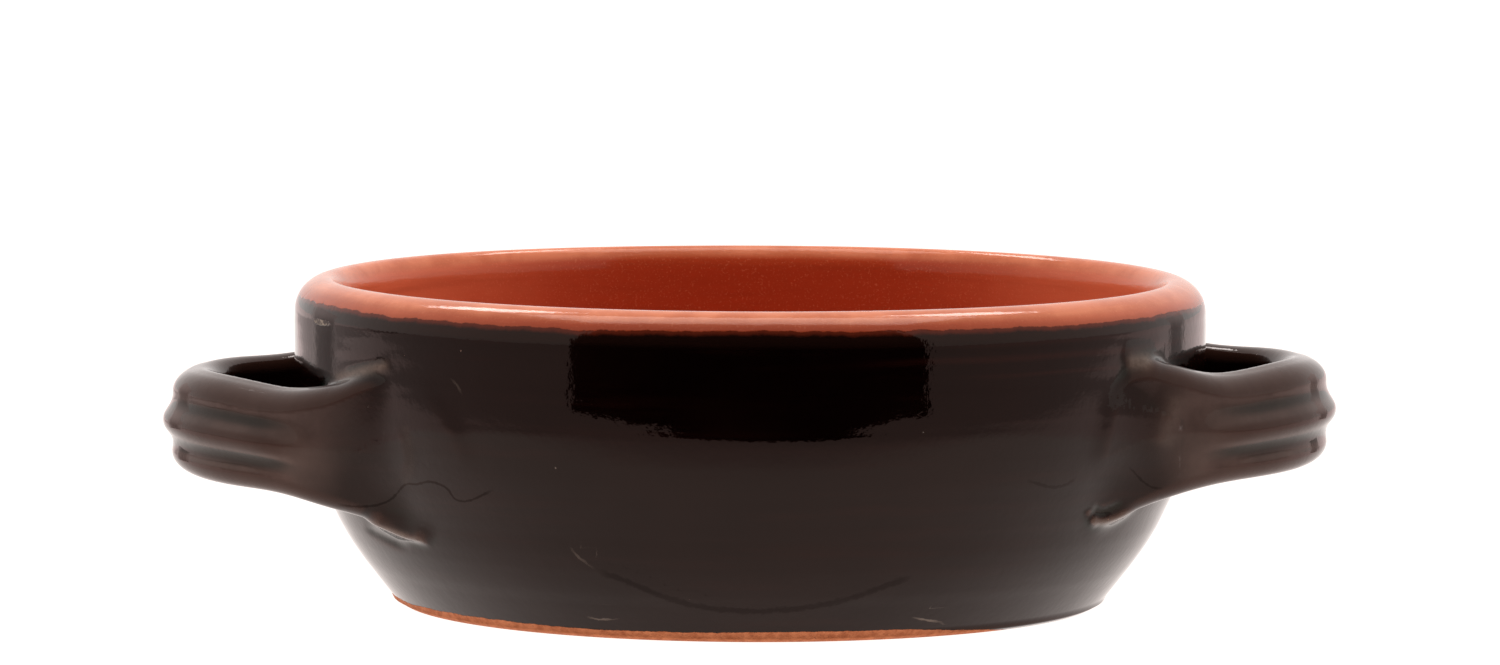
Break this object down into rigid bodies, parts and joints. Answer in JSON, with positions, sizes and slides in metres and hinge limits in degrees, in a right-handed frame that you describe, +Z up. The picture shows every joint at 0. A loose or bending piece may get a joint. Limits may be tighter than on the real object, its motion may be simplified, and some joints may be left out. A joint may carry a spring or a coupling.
{
  "type": "two-handled earthenware casserole",
  "caption": "Low round open casserole of glazed earthenware with flared sides, a rolled bare-clay coloured rim and two ribbed strap handles, for baking and serving.",
  "frame": {"origin": "centre of the flat foot, on the surface it stands on", "axes": "+Z up through the middle of the bowl, +X towards the right-hand handle, so that both handles lie along X; the view of the picture looks along +Y"},
  "size_m": [0.2063, 0.16, 0.057],
  "materials": {
    "casserole": "dark brown gloss glaze outside, clear gloss glaze on orange-red clay on the rim and inside, bare clay along the foot"
  },
  "bodies": {
    "root": {"casserole": "casserole"}
  },
  "joints": []
}
